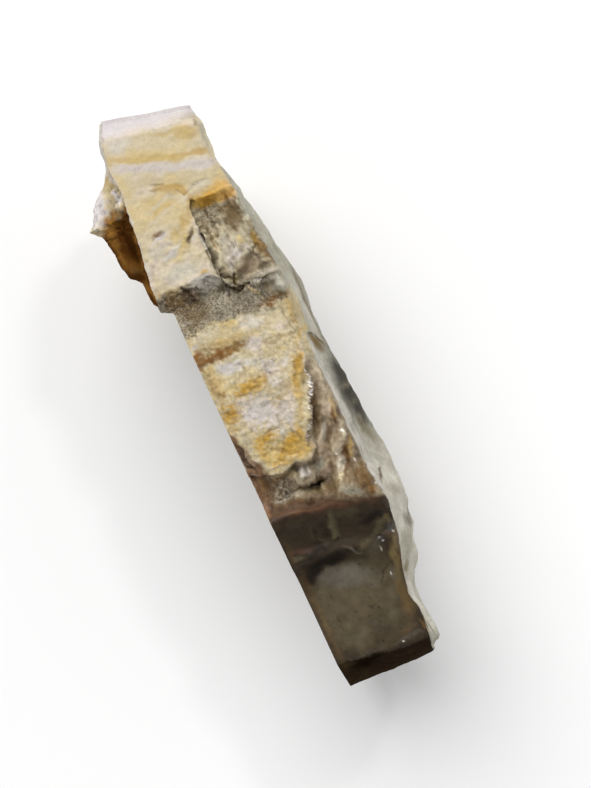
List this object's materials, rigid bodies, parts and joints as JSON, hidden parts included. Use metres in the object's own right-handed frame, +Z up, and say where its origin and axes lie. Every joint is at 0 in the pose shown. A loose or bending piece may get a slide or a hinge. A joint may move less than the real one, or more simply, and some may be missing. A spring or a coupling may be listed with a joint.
{
  "type": "faced rough flint",
  "caption": "Rough slab of flint with one flat sawn face, a pale chalky rind along its upper edge and a broken lip beside the cut.",
  "frame": {"origin": "centre of the bounding box in x and y, at the flat spot under the stone", "axes": "+Z up, from the flat spot to the rough edge with the rind; +X along the stone, from the chalky end to the dark end; -Y out of the sawn face"},
  "size_m": [0.105, 0.0306, 0.0573],
  "materials": {
    "flint": "satin"
  },
  "bodies": {
    "root": {"flint": "flint"}
  },
  "joints": []
}
